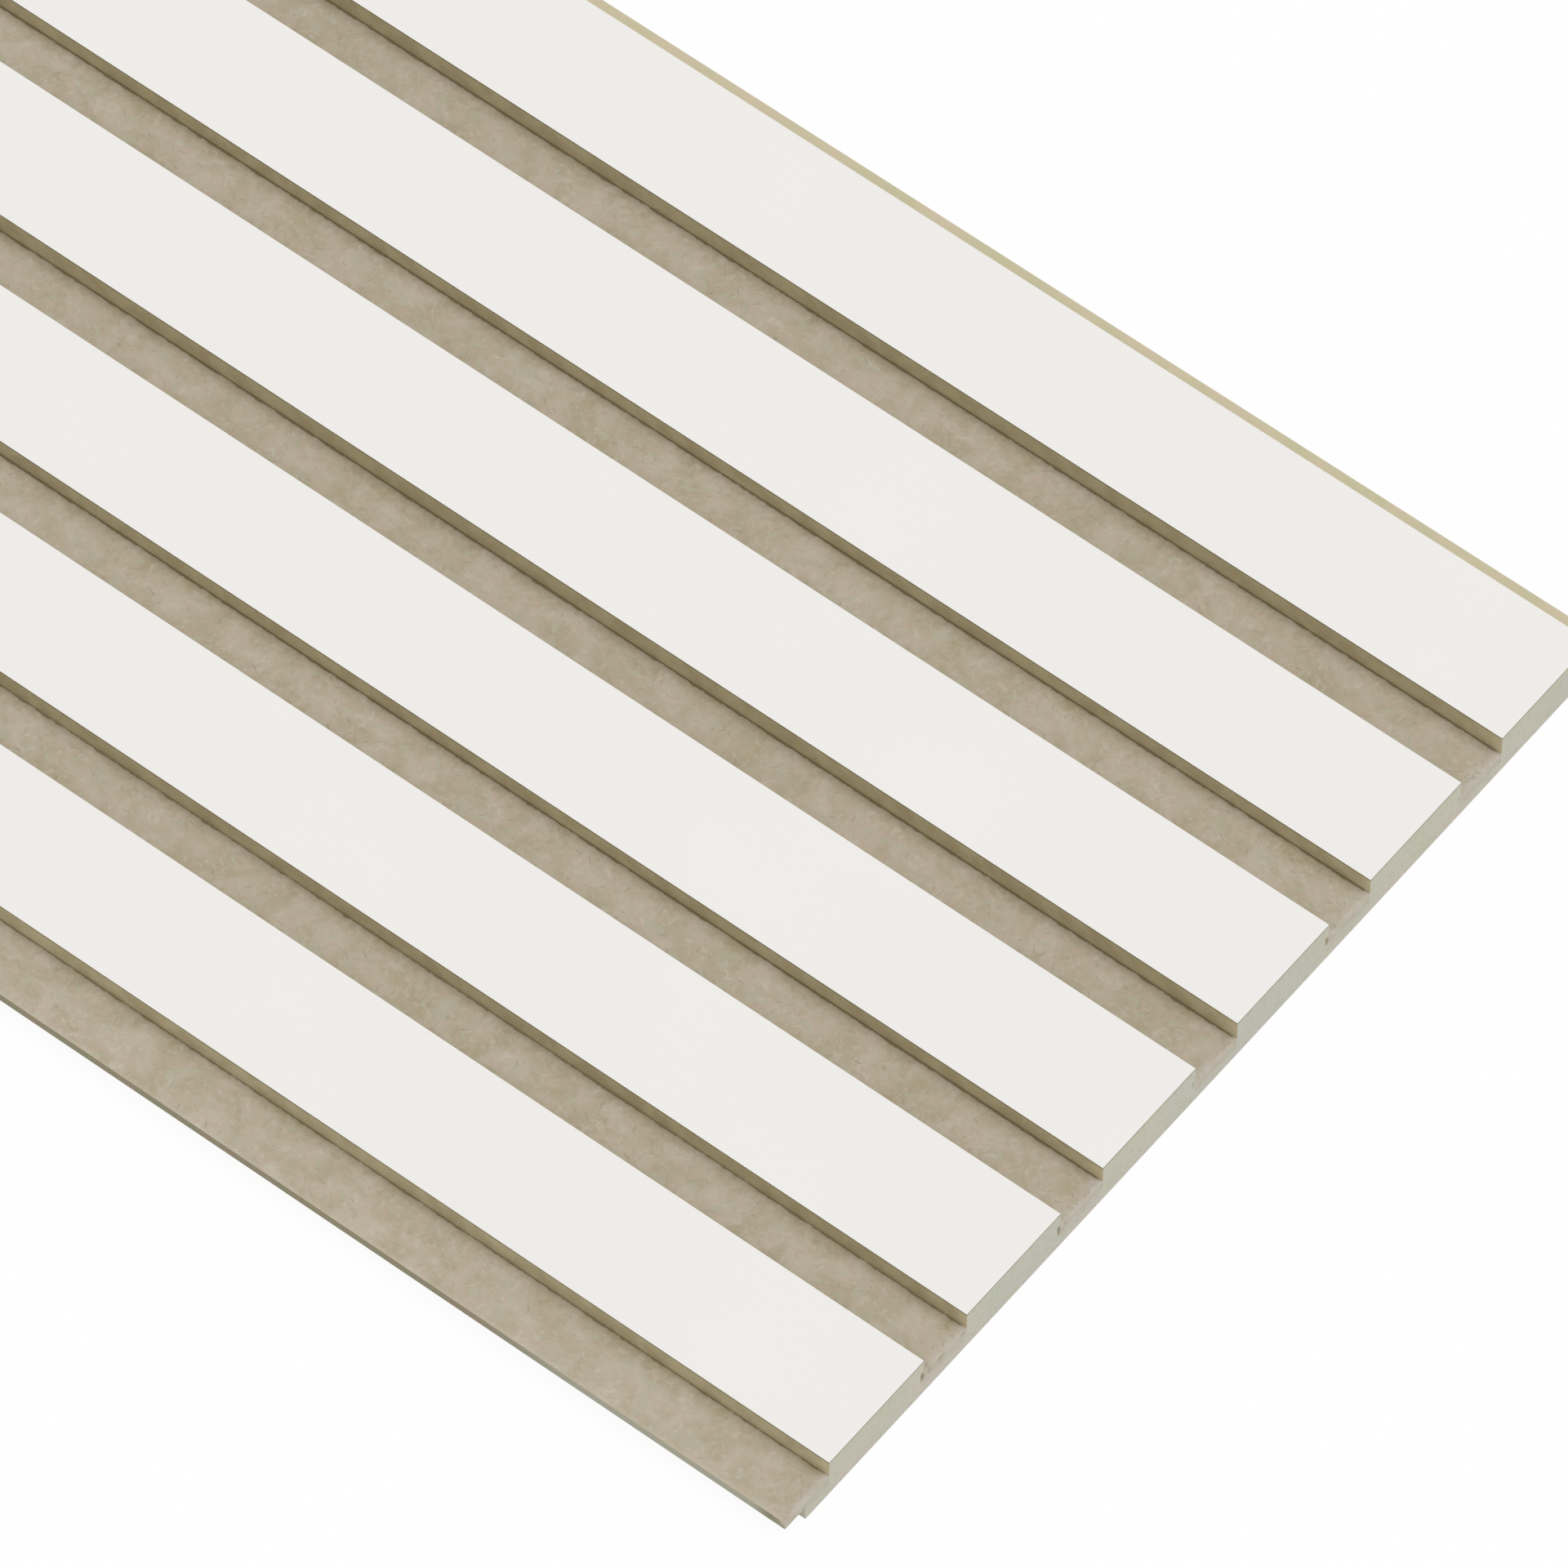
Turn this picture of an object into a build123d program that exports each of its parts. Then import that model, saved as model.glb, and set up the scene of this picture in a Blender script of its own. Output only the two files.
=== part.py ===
from build123d import *
import os

# Slatted acoustic wall panel: a milled board that carries a white facing on each slat.
# The panel lies on its back. X runs along the slats, Y across them from the lip to the ledge, Z up.

# Driving dimensions, in millimetres
panel_length = 2400.0
slat_count = 6
slat_width = 33.0
groove_width = 15.0
groove_depth = 5.2
board_thickness = 12.0
facing_thickness = 0.4
lip_width = 15.4
tongue_thickness = 2.5
tongue_reach = 7.0
joint_clearance = 0.2

# The slats repeat at one pitch, and the groove floor is measured down from the white face
pitch = slat_width + groove_width
floor_height = board_thickness + facing_thickness - groove_depth

# The lip is the floor of the groove beside the next panel, and its tongue lies over that panel's ledge
ledge_width = tongue_reach
tongue_underside = floor_height - tongue_thickness
ledge_height = tongue_underside - joint_clearance

board_width = lip_width + slat_count * pitch - groove_width + ledge_width
lip_tip = -board_width / 2
ledge_tip = board_width / 2
first_slat = lip_tip + lip_width


def milled_board():
    """The board: its full section, less the grooves, the top of the lip and the two rebates."""
    corner = (Align.MIN, Align.MIN)
    above_floor = board_thickness - floor_height
    above_ledge = board_thickness - ledge_height
    groove_starts = [first_slat + slat_width + index * pitch for index in range(slat_count - 1)]
    with BuildPart() as board:
        with BuildSketch(Plane.YZ):
            with Locations((lip_tip, 0)):
                Rectangle(board_width, board_thickness, align=corner)
            # Open grooves between the slats
            with Locations([(start, floor_height) for start in groove_starts]):
                Rectangle(groove_width, above_floor, align=corner, mode=Mode.SUBTRACT)
            # The lip's top is level with the groove floors
            with Locations((lip_tip, floor_height)):
                Rectangle(lip_width, above_floor, align=corner, mode=Mode.SUBTRACT)
            # Rebate under the lip, which leaves the tongue
            with Locations((lip_tip, 0)):
                Rectangle(tongue_reach, tongue_underside, align=corner, mode=Mode.SUBTRACT)
            # Rebate over the ledge, where the next panel's tongue lies
            with Locations((ledge_tip - ledge_width, ledge_height)):
                Rectangle(ledge_width, above_ledge, align=corner, mode=Mode.SUBTRACT)
        extrude(amount=panel_length / 2, both=True)
    return board.part


def facing_strip(index):
    """The white facing on one slat, as wide and as long as the slat's top."""
    slat_middle = first_slat + index * pitch + slat_width / 2
    with BuildPart() as facing:
        with BuildSketch(Plane.XY.offset(board_thickness)):
            with Locations((0, slat_middle)):
                Rectangle(panel_length, slat_width)
        extrude(amount=facing_thickness)
    return facing.part


pieces = {"board": milled_board()}
for slat in range(slat_count):
    pieces[f"facing_{slat + 1}"] = facing_strip(slat)

os.makedirs("parts", exist_ok=True)
for name, piece in pieces.items():
    piece.label = name
    export_step(piece, f"parts/{name}.step")
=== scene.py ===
# %% [markdown]
# # A slatted acoustic panel
# The panel is one long MDF board. Grooves are milled into its white face, so that six white slats stand out of
# bare brown fibre. One long edge has a thin lip and the other a low ledge, and panels lock together there.
#
# The CAD frame already holds the right sizes, so this lesson never moves or resizes it. It only adds what CAD
# leaves out: the finish of each surface, the worn and torn fibre at the sawn ends, and loose fibres in the grooves.

# %% Load the panel's frame
import math

import bpy
import numpy as np
from mathutils import Matrix, Vector, geometry, noise


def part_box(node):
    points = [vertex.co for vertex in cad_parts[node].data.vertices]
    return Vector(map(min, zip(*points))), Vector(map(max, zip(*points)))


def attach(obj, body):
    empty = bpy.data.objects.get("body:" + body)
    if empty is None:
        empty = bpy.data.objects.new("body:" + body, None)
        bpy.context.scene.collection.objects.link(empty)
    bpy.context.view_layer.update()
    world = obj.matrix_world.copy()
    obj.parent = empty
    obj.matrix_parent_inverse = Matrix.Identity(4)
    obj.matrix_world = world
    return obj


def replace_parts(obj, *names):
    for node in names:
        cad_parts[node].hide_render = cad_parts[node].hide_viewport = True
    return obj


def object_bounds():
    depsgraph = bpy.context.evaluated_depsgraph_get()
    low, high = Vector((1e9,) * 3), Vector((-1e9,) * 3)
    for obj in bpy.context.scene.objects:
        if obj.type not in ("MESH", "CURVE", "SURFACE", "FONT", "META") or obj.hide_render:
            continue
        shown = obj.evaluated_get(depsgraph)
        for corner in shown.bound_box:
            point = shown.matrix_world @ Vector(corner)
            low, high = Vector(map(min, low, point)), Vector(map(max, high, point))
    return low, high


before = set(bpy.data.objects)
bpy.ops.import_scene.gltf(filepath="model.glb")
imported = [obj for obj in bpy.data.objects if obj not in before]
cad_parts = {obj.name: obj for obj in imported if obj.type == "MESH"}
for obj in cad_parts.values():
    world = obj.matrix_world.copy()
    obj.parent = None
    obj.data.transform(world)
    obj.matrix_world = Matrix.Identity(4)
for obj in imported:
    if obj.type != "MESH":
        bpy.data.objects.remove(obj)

cad_low, cad_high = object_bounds()
print("CAD box, mm:", [round(1000 * side, 1) for side in cad_high - cad_low])

# %% [markdown]
# ## Reading the section
# A moulding is the same all along its length, so a handful of heights and edges describes it. They are read from
# the CAD mesh instead of being typed again: if the CAD model changes, this script follows it.
# X runs along the slats, Y across them from the lip to the ledge, and Z up.
# One thing is added: the cutter ran a little deep in the third and fifth grooves of this panel. That is
# chance and not design, so CAD leaves it out.

# %% Heights and edges of the board
MM = 0.001
CUT_DEEPER = {3: 0.9 * MM, 5: 0.8 * MM}

board_points = [vertex.co.copy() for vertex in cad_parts["board"].data.vertices]
levels = sorted({round(point.z, 5) for point in board_points})
back, ledge_top, tongue_under, groove_floor, slat_top = levels

board_low, board_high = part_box("board")
half_length = board_high.x
lip_tip, ledge_tip = board_low.y, board_high.y
rebate_wall = min(point.y for point in board_points if point.z < back + 0.1 * MM)

facing_names = sorted(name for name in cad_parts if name.startswith("facing_"))
slats = [(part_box(name)[0].y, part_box(name)[1].y) for name in facing_names]
pitch = slats[1][0] - slats[0][0]
slat_width = slats[0][1] - slats[0][0]
floors = [(lip_tip, slats[0][0])] + [(near[1], far[0]) for near, far in zip(slats, slats[1:])]
floor_levels = [groove_floor - CUT_DEEPER.get(index, 0.0) for index in range(len(floors))]
print(len(slats), "slats,", round(slat_width / MM, 2), "mm wide at a pitch of", round(pitch / MM, 2), "mm")
print("levels, mm:", [round(level / MM, 2) for level in levels])
print("floors of the lip and the grooves, mm:", [round(level / MM, 2) for level in floor_levels])

# %% [markdown]
# ## Sums with sockets
# A procedural material is a small calculation that runs at each point of the surface. In Blender that is a web of
# nodes, and long webs are hard to read. The class below wraps a socket, so that `1 - mask * 0.5` adds the two
# Math nodes and links them. Every other node, in a shader or in Geometry Nodes, comes from its method `node`.

# %% A socket that takes part in sums
class Wire:
    """An output socket. Operators add Math nodes, and node() adds any other node to the same tree."""

    def __init__(self, tree, socket=None):
        self.tree = tree
        self.socket = socket

    def node(self, kind, settings=None, sockets=None, output=0):
        """Add a node: its settings first, then the values or links of its sockets."""
        made = self.tree.nodes.new(kind)
        for name, value in (settings or {}).items():
            setattr(made, name, value)
        for key, value in (sockets or {}).items():
            entry = self.find(made.inputs, key)
            if isinstance(value, Wire):
                self.tree.links.new(value.socket, entry)
            else:
                entry.default_value = value
        return Wire(self.tree, self.find(made.outputs, output) if made.outputs else None)

    def other(self, output):
        """Another output of the node that this wire comes from."""
        return Wire(self.tree, self.find(self.socket.node.outputs, output))

    @staticmethod
    def find(sockets, key):
        """A socket by its number, its identifier or its name."""
        if isinstance(key, int):
            return sockets[key]
        matches = [socket for socket in sockets if socket.identifier == key]
        return matches[0] if matches else sockets[key]

    def math(self, operation, first, second):
        return self.node("ShaderNodeMath", {"operation": operation}, {0: first, 1: second})

    def __add__(self, other):
        return self.math("ADD", self, other)

    def __sub__(self, other):
        return self.math("SUBTRACT", self, other)

    def __rsub__(self, other):
        return self.math("SUBTRACT", other, self)

    def __mul__(self, other):
        return self.math("MULTIPLY", self, other)

    def __mod__(self, other):
        return self.math("FLOORED_MODULO", self, other)

    def __lt__(self, other):
        return self.math("LESS_THAN", self, other)

    def __gt__(self, other):
        return self.math("GREATER_THAN", self, other)

    def __abs__(self):
        return self.math("ABSOLUTE", self, 0.0)

    __radd__ = __add__
    __rmul__ = __mul__


print("Wire adds nodes to a tree")

# %% [markdown]
# ## Masks, clouds and colours
# Three small tools make most finishes. A mask says where a finish lies, from 0 to 1. A cloud is soft noise whose
# size is given in millimetres, because a pattern only looks right at its real scale. A blend lays one colour over
# another by a mask. Colours are written as they look on a screen and turned into linear light, which shaders use.

# %% Tools for finishes
def smooth_step(value, low, high):
    """0 at low, 1 at high, with a soft bend between. low may be the larger of the two."""
    return value.node("ShaderNodeMapRange", {"interpolation_type": "SMOOTHSTEP"},
                      {"Value": value, "From Min": low, "From Max": high})


def blend(share, first, second):
    """The first colour where share is 0, and the second where it is 1."""
    return share.node("ShaderNodeMix", {"data_type": "RGBA"},
                      {"Factor_Float": share, "A_Color": first, "B_Color": second}, "Result_Color")


def cloud(place, size, detail=3.0, roughness=0.55, distortion=0.0):
    """Soft noise from 0 to 1. place and size are in millimetres."""
    return place.node("ShaderNodeTexNoise", None,
                      {"Vector": place, "Scale": 1 / size, "Detail": detail,
                       "Roughness": roughness, "Distortion": distortion})


def paint(red, green, blue):
    """A screen colour, 0 to 255, as linear light."""
    def linear(level):
        share = level / 255
        return share / 12.92 if share <= 0.04045 else ((share + 0.055) / 1.055) ** 2.4
    return (linear(red), linear(green), linear(blue), 1.0)


def split(vector):
    """The X, Y and Z of a vector."""
    x = vector.node("ShaderNodeSeparateXYZ", None, {"Vector": vector}, "X")
    return x, x.other("Y"), x.other("Z")


def start_material(name):
    """An empty material, with the point in millimetres and the surface's direction, both in the part's frame."""
    material = bpy.data.materials.new(name)
    material.use_nodes = True
    material.node_tree.nodes.clear()
    coordinates = Wire(material.node_tree).node("ShaderNodeTexCoord", output="Object")
    place = coordinates.node("ShaderNodeVectorMath", {"operation": "SCALE"},
                             {"Vector": coordinates, "Scale": 1 / MM})
    return material, place, coordinates.other("Normal")


def close_material(colour, roughness, height, relief, specular):
    """Link the finish to a shader. height is 0 to 1, and relief is how deep that is in millimetres."""
    normal = height.node("ShaderNodeBump", None, {"Height": height, "Distance": relief * MM})
    shader = height.node("ShaderNodeBsdfPrincipled", None,
                         {"Base Color": colour, "Roughness": roughness, "Normal": normal,
                          "Specular IOR Level": specular})
    height.node("ShaderNodeOutputMaterial", None, {"Surface": shader})


print("finishes can be mixed from masks, clouds and colours")

# %% [markdown]
# ## The white facing
# Each slat carries a smooth matt white sheet, bonded on before the grooves were milled. Real white sheet is never
# one flat value: it has a fine orange-peel relief and a very faint cloudiness. The milling cut it through, so its
# narrow sides show a darker core, and that draws the thin line under each white face.

# %% Make the white facing
def white_facing():
    material, place, normal = start_material("white_facing")
    faint = cloud(place, 60.0, detail=2.0)
    peel = cloud(place, 0.7, detail=2.0)
    white = blend(faint, paint(236, 234, 230), paint(239, 237, 233))
    side = 1 - smooth_step(split(normal)[2], 0.3, 0.7)
    colour = blend(side, white, paint(124, 114, 80))
    roughness = 0.5 + 0.08 * faint
    close_material(colour, roughness, peel, relief=0.012, specular=0.3)
    return material


facing_finish = white_facing()
for name in facing_names:
    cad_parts[name].data.materials.clear()
    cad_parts[name].data.materials.append(facing_finish)
print("white facing on", len(facing_names), "strips")

# %% [markdown]
# ## Bare MDF
# MDF is wood fibre pressed with resin. A milled groove floor is felted: soft patches, pale wisps and small dark
# flecks. A milled wall is closed and more olive. The lip's outer face is greyer. The ledge is yellow, and it is
# painted paler than the floors as painted light.
# A sawn end is smooth and grey-green, with pinker patches. A photograph could be wrapped round the board instead,
# but its light and blur would come with it. So each kind of surface gets its own short function.

# %% Tones of the milled surfaces
def felted_floor(place):
    """Colour of a milled floor, and the height of its fibre."""
    patches = cloud(place, 8.0, detail=3.0, roughness=0.6, distortion=0.5)
    drift = cloud(place, 3.4, detail=2.0, distortion=0.8)
    wisps = cloud(place, 2.4, detail=3.0, distortion=1.2)
    flecks = cloud(place, 1.7, detail=2.0, distortion=0.6)
    ground = blend(smooth_step(patches, 0.33, 0.67), paint(174, 163, 138), paint(190, 179, 162))
    ground = blend(0.7 * smooth_step(drift, 0.5, 0.64), ground, paint(180, 175, 154))
    ground = blend(0.7 * smooth_step(drift, 0.5, 0.36), ground, paint(186, 171, 151))
    colour = blend(0.4 * smooth_step(wisps, 0.52, 0.74), ground, paint(204, 197, 184))
    colour = blend(0.12 * smooth_step(flecks, 0.46, 0.28), colour, paint(156, 145, 119))
    return colour, 0.5 * wisps + 0.3 * drift + 0.2 * flecks


def milled_wall(place, from_end):
    """Colour of a groove's wall, with a few rusty specks, and painted paler by the sawn end as painted light."""
    streaks = cloud(place, 6.0, detail=3.0)
    specks = smooth_step(cloud(place, 0.9, detail=1.0), 0.72, 0.78)
    colour = blend(smooth_step(streaks, 0.35, 0.65), paint(182, 169, 136), paint(195, 184, 150))
    colour = blend(0.5 * specks, colour, paint(190, 150, 90))
    # Painted light: the last few millimetres of the wall by the sawn end are painted paler, where more light
    # reaches them.
    return blend(0.5 * smooth_step(from_end, 4.0, 0.5), colour, paint(204, 190, 156))


def lip_face(place, from_end, z):
    """Colour of the lip's outer face: dark olive and brown, rubbed greyer by the end, and painted paler in the
    shaded rebate as painted light.
    """
    stretches = cloud(place, 7.0, detail=2.0)
    colour = blend(smooth_step(stretches, 0.35, 0.65), paint(147, 144, 117), paint(155, 143, 121))
    rubbed = smooth_step(from_end, 90.0, 50.0) * smooth_step(from_end, 4.0, 9.0)
    colour = blend(rubbed, colour, paint(175, 172, 153))
    # Painted light: the rebate under the tongue lies in shade, and it is painted paler to stand in for light.
    return blend(z < tongue_under / MM - 0.05, colour, paint(200, 195, 178))


def ledge_strip(place):
    """Colour of the ledge: between yellow and peach, painted paler than the floors as painted light, where the open
    ledge catches the light.
    """
    stretches = cloud(place, 9.0, detail=2.0)
    return blend(smooth_step(stretches, 0.35, 0.65), paint(200, 195, 163), paint(208, 196, 169))


def sawn_end(place, z):
    """Colour of a sawn end: grey-green by the face, pinker by the back, with patches and cool stretches."""
    stretches = cloud(place, 45.0, detail=1.0)
    patches = cloud(place, 12.0, detail=2.0)
    grain = cloud(place, 1.5, detail=4.0)
    colour = blend(smooth_step(z + 6.0 * patches, 11.0, 4.0), paint(194, 192, 175), paint(196, 191, 179))
    colour = blend(0.6 * smooth_step(stretches, 0.5, 0.62), colour, paint(190, 192, 182))
    colour = blend(0.6 * smooth_step(patches, 0.52, 0.66), colour, paint(188, 192, 172))
    colour = blend(0.4 * smooth_step(patches, 0.46, 0.32), colour, paint(203, 193, 180))
    return blend(0.7 * smooth_step(grain, 0.45, 0.7), colour, paint(185, 181, 164))


print("tones for floors, walls, lip, ledge and ends")

# %% [markdown]
# ## Where fibre darkens or pales, and where shade is painted
# The cutter leaves a fuzzy root where each wall meets the floor, and it shows as a thin dark line, ragged on the
# floor's side. The line is partly the fibre's own colour and partly painted shade of the corner, and a wider soft
# band of painted shade lies on the floor beside each wall. Slats repeat at one pitch, so the distance to the
# nearest wall is a remainder of Y. The line also has to lie at the height of the floor, or it would show on the
# back and on the ledge's side too.
# At the sawn ends loose fibre is pale, and torn spots are painted dark, as painted shade in their hollows. How
# frayed or torn a point is comes from two attributes of the mesh, `frayed` and `torn`, that a later step fills in.

# %% Masks for the root line, its painted shade and the mesh's own attributes
FAR_OFF = 100.0


def root_line_and_shade(place, y, z, from_end):
    """1 in the root between a wall and a floor, partly fibre and partly painted shade, with a wider band of painted
    shade on the floor beside each wall, fading out close to the sawn ends.
    """
    first_wall, last_wall = slats[0][0] / MM, slats[-1][1] / MM
    along = (y - first_wall) % (pitch / MM)
    to_far_wall = pitch / MM - along
    no_groove = (y < first_wall) + (y > last_wall - 0.2)
    to_near_wall = abs(along - slat_width / MM) + FAR_OFF * no_groove + 5.0 * smooth_step(from_end, 9.0, 5.0)
    across = to_far_wall.math("MINIMUM", to_far_wall, to_near_wall)
    rough = cloud(place, 1.7, detail=3.0) - 0.5
    waver = cloud(place, 6.0, detail=1.0) - 0.5
    # The root line: the fibre's dark colour together with painted shade of the corner, ragged on the floor's side.
    line = smooth_step(across + 1.2 * rough + 0.9 * waver, 0.6, 0.3)
    # Painted shade: a wide soft band that darkens the floor towards each wall.
    painted_shade = smooth_step(across + 7.0 * rough, 4.0, 0.4)
    on_floor = line.math("MAXIMUM", 0.85 * line, 0.22 * painted_shade)
    floor_height = groove_floor / MM
    for groove, depth in CUT_DEEPER.items():
        start, end = floors[groove]
        floor_height = floor_height - depth / MM * (y > start / MM - 0.1) * (y < end / MM + 0.1)
    at_floor = smooth_step(abs(z - floor_height + 0.1), 0.35, 0.15)
    return on_floor * at_floor * smooth_step(from_end, 0.5, 2.0)


def mesh_attribute(place, name):
    return place.node("ShaderNodeAttribute", {"attribute_name": name}, None, "Fac")


print("masks for roots, frayed ends and torn spots")

# %% [markdown]
# One material serves the whole board. The direction that a surface faces, and how far across it lies, tell which
# tone it gets. Later tones are laid over earlier ones, as coats of paint would be.

# %% Make the MDF material
LIP_SIDE = slats[0][0] / MM - 1.0
LEDGE_SIDE = slats[-1][1] / MM + 0.1


def bare_mdf():
    material, place, normal = start_material("bare_mdf")
    x, y, z = split(place)
    facing_x, facing_y, _ = split(normal)
    from_end = half_length / MM - abs(x)
    wall = smooth_step(abs(facing_y), 0.5, 0.85)
    end = smooth_step(abs(facing_x), 0.45, 0.9)
    lip_edge_highlight = smooth_step(y + cloud(place, 2.0), lip_tip / MM + 1.6, lip_tip / MM + 1.0)

    colour, height = felted_floor(place)
    # The ledge's tone, painted paler than the floors as painted light.
    colour = blend((y > LEDGE_SIDE) * (z > ledge_top / MM - 0.5), colour, ledge_strip(place))
    # Painted highlight: a faint pale line on the floor's outer millimetre by the lip's tip, where its rounded arris
    # catches the light.
    colour = blend(0.15 * lip_edge_highlight, colour, paint(208, 201, 182))
    side = blend(y < LIP_SIDE, milled_wall(place, from_end), lip_face(place, from_end, z))
    colour = blend(wall, colour, side)
    colour = blend(end, colour, sawn_end(place, z))
    # The root's dark line and the band beside it: fibre colour and painted shade.
    colour = blend(0.95 * root_line_and_shade(place, y, z, from_end), colour, paint(118, 105, 72))
    loose = blend(smooth_step(cloud(place, 2.5), 0.4, 0.6), paint(182, 173, 156), paint(187, 180, 169))
    colour = blend(0.9 * mesh_attribute(place, "frayed"), colour, loose)
    # Painted shade: torn spots are painted dark, the deeper ones more, as shade in their hollows.
    colour = blend(mesh_attribute(place, "torn"), colour, paint(148, 137, 117))
    roughness = 0.84 + 0.12 * height
    close_material(colour, roughness, height, relief=0.13, specular=0.15)
    return material


mdf_finish = bare_mdf()
print("bare MDF has", len(mdf_finish.node_tree.nodes), "nodes")

# %% [markdown]
# ## A board with real wear
# The CAD board has ideal edges. On the real one the floor of each groove rolls over into the sawn end, because
# loose fibre breaks away there, and small slits are torn out at the foot of the slats. Bump can't change an
# outline, so the board is meshed again from the same section: coarse along its length, and fine at its two ends.
# Geometry Nodes could sweep the section too. Arrays are used here, because the wear moves single points by rules
# that are easier to read as sums.

# %% The section as a ring of points
ARRIS = 0.3 * MM
FINE = 0.75 * MM
COARSE = 9.0 * MM


def section_corners():
    """Corners of the board's section, each with the radius that handling has worn on it."""
    corners = [(lip_tip, tongue_under, ARRIS / 3), (lip_tip, groove_floor, ARRIS / 3)]
    for (low, high), before, after in zip(slats, floor_levels, floor_levels[1:] + [ledge_top]):
        corners += [(low, before, 0), (low, slat_top, 0), (high, slat_top, 0), (high, after, 0)]
    corners += [(ledge_tip, ledge_top, ARRIS), (ledge_tip, back, ARRIS)]
    corners += [(rebate_wall, back, ARRIS), (rebate_wall, tongue_under, 0)]
    return corners


def toward(start, end, distance):
    return start + (end - start).normalized() * distance


def section_ring():
    """Points round the section, close together where fibre shows and far apart on flat hidden faces."""
    corners = section_corners()
    ring = []
    for index, (y, z, radius) in enumerate(corners):
        before, here = Vector(corners[index - 1][:2]), Vector((y, z))
        following = corners[(index + 1) % len(corners)]
        after = Vector(following[:2])
        enter, leave = toward(here, before, radius), toward(here, after, radius)
        turns = (0.0, 1 / 3, 2 / 3, 1.0) if radius else (0.0,)
        ring += [enter * (1 - t) ** 2 + here * 2 * t * (1 - t) + leave * t * t for t in turns]
        run_end = toward(after, here, following[2])
        hidden = z == following[1] and z in (back, slat_top)
        pieces = max(1, round((run_end - leave).length / (COARSE if hidden else FINE)))
        ring += [leave.lerp(run_end, step / pieces) for step in range(1, pieces)]
    return np.array(ring)


ring = section_ring()
print("the section has", len(ring), "points")

# %% [markdown]
# The ends need points inside the section too, or there is nothing to tear. A grid fills it, with a finer one round
# each torn spot, and a Delaunay triangulation joins them all. The spots are listed one by one: an upright slit in
# most slats, level with the groove floor, and a few smudges just under the floor. Each is given by the slat it
# belongs to, how far past that slat's edge it lies, how far under the floor, and its half width, half height and
# depth, in millimetres.

# %% Torn spots, and points to tear
TORN_SPOTS = [
    (1, -0.55, 1.1, 0.65, 2.3, 0.8), (1, 2.1, 1.5, 0.6, 1.5, 0.3), (1, 5.9, 1.4, 1.5, 0.9, 0.3),
    (1, 13.6, 1.4, 1.2, 0.9, 0.25), (2, -0.5, 1.4, 0.55, 2.2, 0.8), (2, 2.0, 1.3, 0.45, 0.8, 0.25),
    (3, -0.6, 1.0, 0.5, 1.6, 0.35), (4, -0.6, 1.0, 0.55, 2.0, 0.75), (5, -0.6, 1.0, 0.4, 1.2, 0.2),
]
GRID = 0.6 * MM
TEAR_GRID = 0.22 * MM
CLEAR = 0.3 * MM


def section_span(y):
    """The lowest and highest point of the board at each y."""
    low = np.where(y > rebate_wall, back, tongue_under)
    slats_before = np.searchsorted([near for near, _ in slats], y)
    high = np.array(floor_levels + [ledge_top])[slats_before]
    for near, far in slats:
        high = np.where((y >= near) & (y <= far), slat_top, high)
    return low, high


def inside_section(points):
    """The points that lie in the section, clear of its edges."""
    sides = [section_span(points[:, 0] + shift) for shift in (-CLEAR, 0.0, CLEAR)]
    low = np.max([side[0] for side in sides], axis=0) + CLEAR
    high = np.min([side[1] for side in sides], axis=0) - CLEAR
    within = (points[:, 0] > lip_tip + CLEAR) & (points[:, 0] < ledge_tip - CLEAR)
    return points[within & (points[:, 1] > low) & (points[:, 1] < high)]


def grid(low, high, step):
    across, up = np.meshgrid(np.arange(low[0], high[0], step), np.arange(low[1], high[1], step))
    return np.column_stack([across.ravel(), up.ravel()])


def spot_shape(spot):
    """Middle of a torn spot, its half width and half height, and its depth."""
    slat, past, under, half_width, half_height, depth = spot
    middle = np.array([slats[slat - 1][1] + past * MM, groove_floor - under * MM])
    return middle, np.array([half_width, half_height]) * MM, depth * MM


def inner_points():
    """A grid over the section, with a finer one round each torn spot and a small gap between the two."""
    coarse = grid((lip_tip, back), (ledge_tip, slat_top), GRID)
    fine = []
    for spot in TORN_SPOTS:
        middle, half_size, _ = spot_shape(spot)
        reach = half_size + GRID
        coarse = coarse[(np.abs(coarse - middle) > reach + TEAR_GRID).any(axis=1)]
        fine.append(grid(middle - reach, middle + reach, TEAR_GRID))
    fine = np.unique(np.round(np.vstack(fine) / TEAR_GRID).astype(int), axis=0) * TEAR_GRID
    return inside_section(np.vstack([coarse, fine]))


inner = inner_points()
print(len(TORN_SPOTS), "torn spots among", len(inner), "points in each end")

# %% [markdown]
# Rings of section points at growing distances from each end make the skin. The steps grow by a quarter each time,
# so that the last millimetre has several rings and the middle of a 2.4 m board only a few.

# %% Skin and ends as one closed mesh
FIRST_STEP = 0.15 * MM
GROWTH = 1.25


def stations():
    """X of each ring, from the sawn end that shows to the other one."""
    distances = [0.0]
    step = FIRST_STEP
    while distances[-1] + step < 0.9 * half_length:
        distances.append(distances[-1] + step)
        step *= GROWTH
    shown = half_length - np.array(distances)
    return np.concatenate([shown, -shown[::-1]])


def section_triangles():
    """Triangles over the section: indices of ring points, then of inner points."""
    points = [Vector(point) for point in np.vstack([ring, inner])]
    rim = [(index, (index + 1) % len(ring)) for index in range(len(ring))]
    found = geometry.delaunay_2d_cdt(points, rim, [], 1, 1e-8)
    triangles, sources = found[2], found[3]
    return [[sources[corner][0] for corner in triangle] for triangle in triangles]


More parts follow.
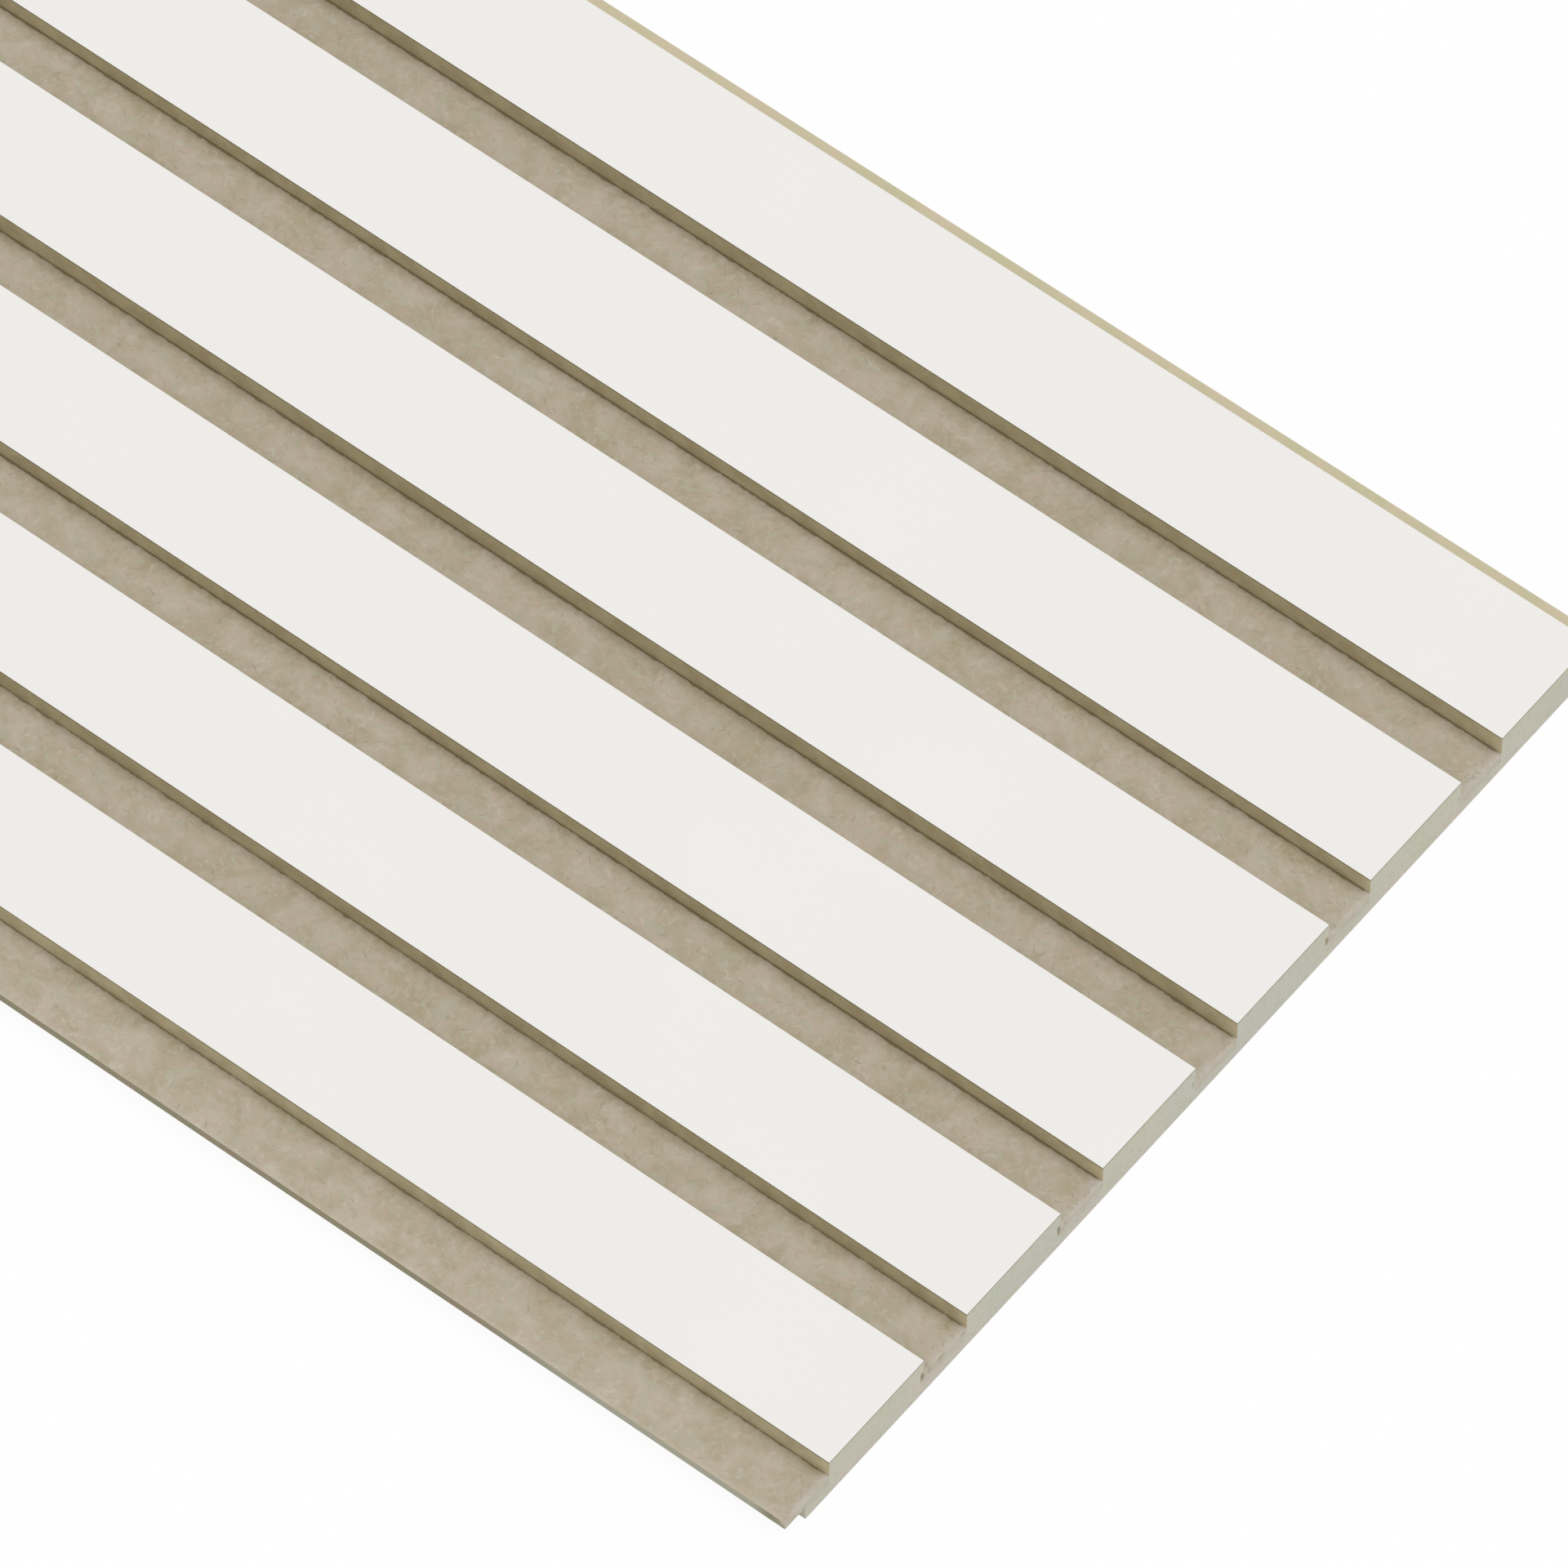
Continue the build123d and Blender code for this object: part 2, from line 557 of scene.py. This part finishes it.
def board_mesh():
    """Points and faces of the ideal board. The end that shows comes first."""
    xs, size = stations(), len(ring)
    points = [np.column_stack([np.full(size, x), ring]) for x in xs]
    points += [np.column_stack([np.full(len(inner), x), inner]) for x in (xs[0], xs[-1])]
    faces = []
    for row in range(len(xs) - 1):
        for column in range(size):
            right = (column + 1) % size
            faces.append([row * size + column, row * size + right,
                          (row + 1) * size + right, (row + 1) * size + column])
    last_row, inner_start = (len(xs) - 1) * size, len(xs) * size
    for triangle in section_triangles():
        faces.append([v if v < size else inner_start + v - size for v in triangle])
        faces.append([last_row + v if v < size else inner_start + len(inner) + v - size for v in triangle][::-1])
    return np.vstack(points), faces


points, faces = board_mesh()
print(len(points), "points and", len(faces), "faces in the board")

# %% [markdown]
# ## Wearing the floors' ends
# A square corner becomes a round one when each point is pulled towards the middle of the curve, by the ratio of
# its larger offset to its distance. The radius changes along the edge, because fibre breaks away unevenly, and
# it fades out at the walls. What frays there is marked too, from the arris outwards, in ragged patches.

# %% Wear and fray the ends of the floors
WORN_LEAST, WORN_MOST = 0.7 * MM, 2.0 * MM
WORN_FADE = 1.5 * MM
WORN_PATCH = 3.0 * MM
FRAYED_REACH = 3.2 * MM
FRAYED_DEPTH = 5.5 * MM
FRAYED_PATCH = 2.0 * MM
TINY = 0.001 * MM
walls = np.array([edge for slat in slats for edge in slat])


def uneven(point, size):
    """Soft noise from 0 to 1 at a point of the mesh."""
    return 0.5 + 0.5 * noise.noise(Vector(point) / size)


def near_floor_ends(points, reach):
    """Index and floor level of the points on or under a groove's floor, within reach of a sawn end."""
    close = np.flatnonzero(half_length - np.abs(points[:, 0]) < reach)
    tops = section_span(points[close, 1])[1]
    on_floor = np.isin(tops, floor_levels) & (points[close, 2] <= tops + TINY)
    return zip(close[on_floor], tops[on_floor])


def worn_floors(points):
    """Round the arris between each groove floor and the sawn ends."""
    worn = points.copy()
    for index, level in near_floor_ends(points, WORN_MOST):
        x, y, z = points[index]
        fade = min(1.0, np.abs(walls - y).min() / WORN_FADE)
        spread = uneven((x, y, 0.0), WORN_PATCH)
        radius = fade * (WORN_LEAST + spread * (WORN_MOST - WORN_LEAST))
        offset = np.array([radius - (half_length - abs(x)), radius - (level - z)])
        if (offset > 0).all():
            shift = offset * (1 - offset.max() / np.linalg.norm(offset))
            worn[index] -= (math.copysign(shift[0], x), 0.0, shift[1])
    return worn


def frayed_shares(points):
    """How frayed each point is: 1 at the arris of a floor's end, less and less along the floor and down the end."""
    shares = np.zeros(len(points))
    for index, level in near_floor_ends(points, FRAYED_REACH):
        x, y, z = points[index]
        away = max((half_length - abs(x)) / FRAYED_REACH, (level - z) / FRAYED_DEPTH)
        shares[index] = np.clip(1.2 * uneven((x, y, z), FRAYED_PATCH) + 0.8 - 1.6 * away, 0, 1)
    return shares


frayed = frayed_shares(points)
worn = worn_floors(points)
print("frayed points:", np.count_nonzero(frayed), "worn points:", np.count_nonzero((worn != points).any(axis=1)))

# %% [markdown]
# ## Tears, a chip and the roots
# The torn spots are hollows with soft rims, pushed into the end that shows. The thin corner of the lip has lost a
# chip, so the points beyond a slanting plane are pushed back to it. Along the foot of every wall the cutter has
# gone a little deeper than the floor, which darkens the root in any light.

# %% Tear the spots, chip the lip and deepen the roots
CHIP_SIZE = 1.8 * MM
ROOT_DEPTH = 0.14 * MM
ROOT_CLEAR = 1.5 * MM


def torn_end(points):
    """Push each torn spot into the end that shows. Returns the points, and how torn each one is, which the material
    paints dark as painted shade in the hollows.
    """
    torn = np.zeros(len(points))
    depth = np.zeros(len(points))
    on_end = points[:, 0] > half_length - WORN_MOST
    for spot in TORN_SPOTS:
        middle, half_size, deepest = spot_shape(spot)
        offset = (points[:, 1:] - middle) / half_size
        hollow = np.where(on_end, np.clip(1 - (offset ** 2).sum(axis=1), 0, 1), 0.0)
        torn = np.maximum(torn, hollow * min(1.0, 1.2 * deepest / MM))
        depth = np.maximum(depth, hollow * deepest)
    moved = points.copy()
    moved[:, 0] -= depth
    return moved, torn


def chipped_lip(points):
    """Cut the lip's top corner off at the end that shows."""
    from_corner = np.column_stack([half_length - points[:, 0], points[:, 1] - lip_tip, groove_floor - points[:, 2]])
    short = np.clip(CHIP_SIZE - from_corner.sum(axis=1), 0, None) / 3
    return points + np.outer(short, (-1.0, 1.0, -1.0))


def deepened_roots(points):
    """Sink the foot of each wall, apart from the last stretch by the sawn ends."""
    on_floor = np.abs(points[:, 2:] - np.array(floor_levels)).min(axis=1) < TINY
    at_root = on_floor & (np.abs(points[:, 1:2] - walls).min(axis=1) < TINY)
    depth = ROOT_DEPTH * np.clip((half_length - np.abs(points[:, 0])) / ROOT_CLEAR - 0.5, 0, 1)
    sunk = points.copy()
    sunk[:, 2] -= np.where(at_root, depth, 0.0)
    return sunk


whole_end = deepened_roots(chipped_lip(worn))
points, torn = torn_end(whole_end)
print("deepest tear, mm:", round((whole_end - points).max() / MM, 2))

# %% [markdown]
# ## The board in its place
# The arrays become one mesh, and the shares of torn and frayed fibre go along as attributes for the material. The
# piece rides on the panel's one body and replaces the CAD board, which then hides. Only sharp edges stay hard, so
# that the worn corners shade softly.

# %% Put the board in place of the CAD one
SHARP_FROM = math.radians(40)


def add_piece(name, mesh, material):
    """A finished piece: linked, painted, riding on the panel's one body."""
    piece = bpy.data.objects.new(name, mesh)
    bpy.context.scene.collection.objects.link(piece)
    mesh.materials.clear()
    mesh.materials.append(material)
    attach(piece, "root")
    return piece


mesh = bpy.data.meshes.new("milled_board")
mesh.from_pydata(points.tolist(), [], faces)
for name, shares in (("torn", torn), ("frayed", frayed)):
    mesh.attributes.new(name, "FLOAT", "POINT").data.foreach_set("value", shares.astype(np.float32))
mesh.shade_smooth()
mesh.set_sharp_from_angle(angle=SHARP_FROM)
milled_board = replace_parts(add_piece("milled_board", mesh, mdf_finish), "board")
print("milled_board:", len(mesh.polygons), "faces")

# %% [markdown]
# ## Loose fibres
# Milling pulls fibres up without cutting them, so the floors look like thin felt. They are tiny and there are
# thousands, which is work for Geometry Nodes: scatter points on the floors, set a bent thread on each, turn and
# scale it at random. The tree takes its sizes as inputs, so one tree also makes the shorter fuzz along the ends.

# %% A tree that grows fibres on a surface
FIBRE_INPUTS = [("Density", "NodeSocketFloat"), ("Length", "NodeSocketFloat"), ("Thickness", "NodeSocketFloat"),
                ("Lift", "NodeSocketFloat"), ("Seed", "NodeSocketInt"), ("Material", "NodeSocketMaterial")]


def fibre_tree():
    tree = bpy.data.node_groups.new("loose_fibres", "GeometryNodeTree")
    tree.interface.new_socket("Geometry", in_out="INPUT", socket_type="NodeSocketGeometry")
    for name, kind in FIBRE_INPUTS:
        tree.interface.new_socket(name, in_out="INPUT", socket_type=kind)
    tree.interface.new_socket("Geometry", in_out="OUTPUT", socket_type="NodeSocketGeometry")
    surface = Wire(tree).node("NodeGroupInput", output="Geometry")
    length, lift, seed = surface.other("Length"), surface.other("Lift"), surface.other("Seed")

    def point(x, y, z):
        return surface.node("ShaderNodeCombineXYZ", None, {"X": x, "Y": y, "Z": z})

    thread = surface.node("GeometryNodeCurveQuadraticBezier", None,
                          {"Resolution": 2, "Start": point(length * -0.5, 0.0, lift * -0.5),
                           "Middle": point(0.0, length * 0.2, lift * 2.0),
                           "End": point(length * 0.5, 0.0, lift * -0.2)})
    edge = surface.node("GeometryNodeCurvePrimitiveCircle", None,
                        {"Resolution": 3, "Radius": surface.other("Thickness") * 0.5})
    fibre = surface.node("GeometryNodeCurveToMesh", None,
                         {"Curve": thread, "Profile Curve": edge, "Fill Caps": True})
    spots = surface.node("GeometryNodeDistributePointsOnFaces", None,
                         {"Mesh": surface, "Density": surface.other("Density"), "Seed": seed})
    turn = surface.node("FunctionNodeRandomValue", {"data_type": "FLOAT_VECTOR"},
                        {"Min": (-0.1, -0.1, 0.0), "Max": (0.1, 0.1, math.tau), "Seed": seed})
    size = surface.node("FunctionNodeRandomValue", {"data_type": "FLOAT"},
                        {"Min_001": 0.4, "Max_001": 1.2, "Seed": seed + 1}, "Value_001")
    placed = surface.node("GeometryNodeInstanceOnPoints", None,
                          {"Points": spots, "Instance": fibre, "Scale": size,
                           "Rotation": surface.node("FunctionNodeEulerToRotation", None, {"Euler": turn})})
    solid = surface.node("GeometryNodeRealizeInstances", None, {"Geometry": placed})
    painted = surface.node("GeometryNodeSetMaterial", None,
                           {"Geometry": solid, "Material": surface.other("Material")})
    surface.node("NodeGroupOutput", None, {"Geometry": painted})
    return tree


fibres = fibre_tree()
print("the fibre tree has", len(fibres.nodes), "nodes")

# %% [markdown]
# The tree needs a surface to scatter on. Plain strips over the floors serve better than the board itself, because
# no fibre then grows on the walls, the ends or the back. Long fibres grow all along the floors, and short fuzz in
# the last few millimetres. The strips are taken away afterwards, and the fibres stay as plain meshes.

# %% Grow fibres on the groove floors and along their ends
def pale_fibre():
    material, place, _ = start_material("pale_fibre")
    tone = cloud(place, 3.0)
    colour = blend(tone, paint(186, 178, 157), paint(201, 193, 176))
    close_material(colour, 0.95, tone, relief=0.01, specular=0.1)
    return material


def strips_mesh(name, xs, clear):
    """A flat strip on each groove floor for each pair of X, clear of the walls and of the lip's edge."""
    corners = [(x, y, level) for (low, high), level in zip(floors, floor_levels) for start, end in xs
               for x, y in ((start, low + clear), (end, low + clear), (end, high - clear), (start, high - clear))]
    mesh = bpy.data.meshes.new(name)
    mesh.from_pydata(corners, [], [range(first, first + 4) for first in range(0, len(corners), 4)])
    return mesh


def grow_fibres(name, surface, **sizes):
    """Run the tree on a surface, and keep what it makes as a plain mesh."""
    host = bpy.data.objects.new(name + "_surface", surface)
    bpy.context.scene.collection.objects.link(host)
    modifier = host.modifiers.new("fibres", "NODES")
    modifier.node_group = fibres
    for item in fibres.interface.items_tree:
        if item.in_out == "INPUT" and item.name in sizes:
            modifier[item.identifier] = sizes[item.name]
    mesh = bpy.data.meshes.new_from_object(host.evaluated_get(bpy.context.evaluated_depsgraph_get()))
    host.modifiers.remove(modifier)
    bpy.data.objects.remove(host)
    mesh.name = name
    piece = add_piece(name, mesh, sizes["Material"])
    print(name, "has", len(mesh.polygons), "faces")
    return piece


fibre_finish = pale_fibre()
fuzz_start, fuzz_end = half_length - 3.0 * MM, half_length - 0.6 * MM
whole = strips_mesh("floors", [(-fuzz_start, fuzz_start)], clear=1.5 * MM)
tips = strips_mesh("tips", [(fuzz_start, fuzz_end), (-fuzz_end, -fuzz_start)], clear=0.8 * MM)
grow_fibres("floor_fibres", whole, Density=50000.0, Length=2.2 * MM, Thickness=0.1 * MM, Lift=0.08 * MM,
            Seed=11, Material=fibre_finish)
grow_fibres("end_fibres", tips, Density=900000.0, Length=1.1 * MM, Thickness=0.09 * MM, Lift=0.06 * MM,
            Seed=12, Material=fibre_finish)

# %% [markdown]
# ## Floor and light
# The panel lies on a plain white floor in soft light. The key light stands high beyond the sawn end and shines
# along the grooves, so the end is bright, the walls are in shade and no groove has a hard shadow. The world fills
# the rest. Together they give a flat surface a level of 1, at which a colour renders as it is written.

# %% Lay the floor and light it
SKY_LEVEL = 0.65
KEY_LEVEL = 1.0 - SKY_LEVEL
KEY_HEIGHT = math.radians(66)
KEY_TURN = math.radians(90)
KEY_SOFTNESS = math.radians(40)
FLOOR_SIZE = 120.0
FLOOR_CLEAR = 0.2 * MM
FLOOR_GLOW = 0.94


def seen_directly(wire):
    """1 for the camera's own rays, and for what mirrors and glass show."""
    path = wire.node("ShaderNodeLightPath", output="Is Camera Ray")
    either = path.math("MAXIMUM", path, path.other("Is Glossy Ray"))
    return path.math("MAXIMUM", either, path.other("Is Transmission Ray"))


def white_floor():
    """Pale and matt to the light, and nearly white to the eye, so that only a faint shadow shows."""
    material = bpy.data.materials.new("white_floor")
    material.use_nodes = True
    material.node_tree.nodes.clear()
    wire = Wire(material.node_tree)
    matt = wire.node("ShaderNodeBsdfDiffuse", None, {"Color": (0.95, 0.95, 0.95, 1.0)})
    glow = wire.node("ShaderNodeEmission", None, {"Strength": 1.0})
    shader = wire.node("ShaderNodeMixShader", None,
                       {0: FLOOR_GLOW * seen_directly(wire), 1: matt, 2: glow})
    wire.node("ShaderNodeOutputMaterial", None, {"Surface": shader})
    return material


def lay_floor():
    """A white sheet, a hair under the panel's back so that the two never share a plane."""
    mesh = bpy.data.meshes.new("studio_floor")
    half, level = FLOOR_SIZE / 2, back - FLOOR_CLEAR
    corners = [(-half, -half, level), (half, -half, level), (half, half, level), (-half, half, level)]
    mesh.from_pydata(corners, [], [(0, 1, 2, 3)])
    mesh.materials.append(white_floor())
    floor = bpy.data.objects.new("studio_floor", mesh)
    bpy.context.scene.collection.objects.link(floor)


def light_world():
    world = bpy.data.worlds.new("studio_sky")
    bpy.context.scene.world = world
    world.use_nodes = True
    world.node_tree.nodes.clear()
    wire = Wire(world.node_tree)
    level = SKY_LEVEL + (1.0 - SKY_LEVEL) * seen_directly(wire)
    sky = wire.node("ShaderNodeBackground", None, {"Color": (1.0, 1.0, 1.0, 1.0), "Strength": level})
    wire.node("ShaderNodeOutputWorld", None, {"Surface": sky})


def hang_key():
    """A broad, far lamp whose light on a flat surface adds up to KEY_LEVEL."""
    lamp = bpy.data.lights.new("key", "SUN")
    lamp.energy = KEY_LEVEL * math.pi / math.sin(KEY_HEIGHT)
    lamp.angle = KEY_SOFTNESS
    key = bpy.data.objects.new("key", lamp)
    bpy.context.scene.collection.objects.link(key)
    towards = Vector((math.sin(KEY_TURN) * math.cos(KEY_HEIGHT),
                      math.cos(KEY_TURN) * math.cos(KEY_HEIGHT), math.sin(KEY_HEIGHT)))
    key.rotation_euler = towards.to_track_quat("Z", "Y").to_euler()


lay_floor()
light_world()
hang_key()
bpy.context.scene.view_settings.view_transform = "Standard"
print("sky", SKY_LEVEL, "and key", round(KEY_LEVEL, 2))

# %% [markdown]
# ## Camera
# The view is from far off through a long lens, so the slats stay almost parallel. The lens, angles and distance
# were solved from the straight edges in the photograph. The camera aims at a point on the panel's middle line,
# close to its sawn end, and the picture cuts the rest of the length off.

# %% Place the camera
LENS_MM = 398.04
SENSOR_MM = 36.0
VIEW_TURN = math.radians(38.488)
VIEW_HEIGHT = math.radians(55.910)
VIEW_ROLL = math.radians(-0.133)
VIEW_DISTANCE = 3.8243
AIM_FROM_END = 117.0 * MM
AIM_ACROSS = -0.24 * MM


def place_camera():
    data = bpy.data.cameras.new("camera")
    data.lens = LENS_MM
    data.sensor_width = SENSOR_MM
    camera = bpy.data.objects.new("camera", data)
    bpy.context.scene.collection.objects.link(camera)
    aim = Vector((half_length - AIM_FROM_END, AIM_ACROSS, cad_high.z))
    behind = Vector((math.sin(VIEW_TURN) * math.cos(VIEW_HEIGHT),
                     -math.cos(VIEW_TURN) * math.cos(VIEW_HEIGHT), math.sin(VIEW_HEIGHT)))
    turned = behind.to_track_quat("Z", "Y").to_matrix().to_4x4() @ Matrix.Rotation(VIEW_ROLL, 4, "Z")
    camera.matrix_world = Matrix.Translation(aim + behind * VIEW_DISTANCE) @ turned
    bpy.context.scene.camera = camera
    return camera


camera = place_camera()
print("camera at", [round(value, 3) for value in camera.location])
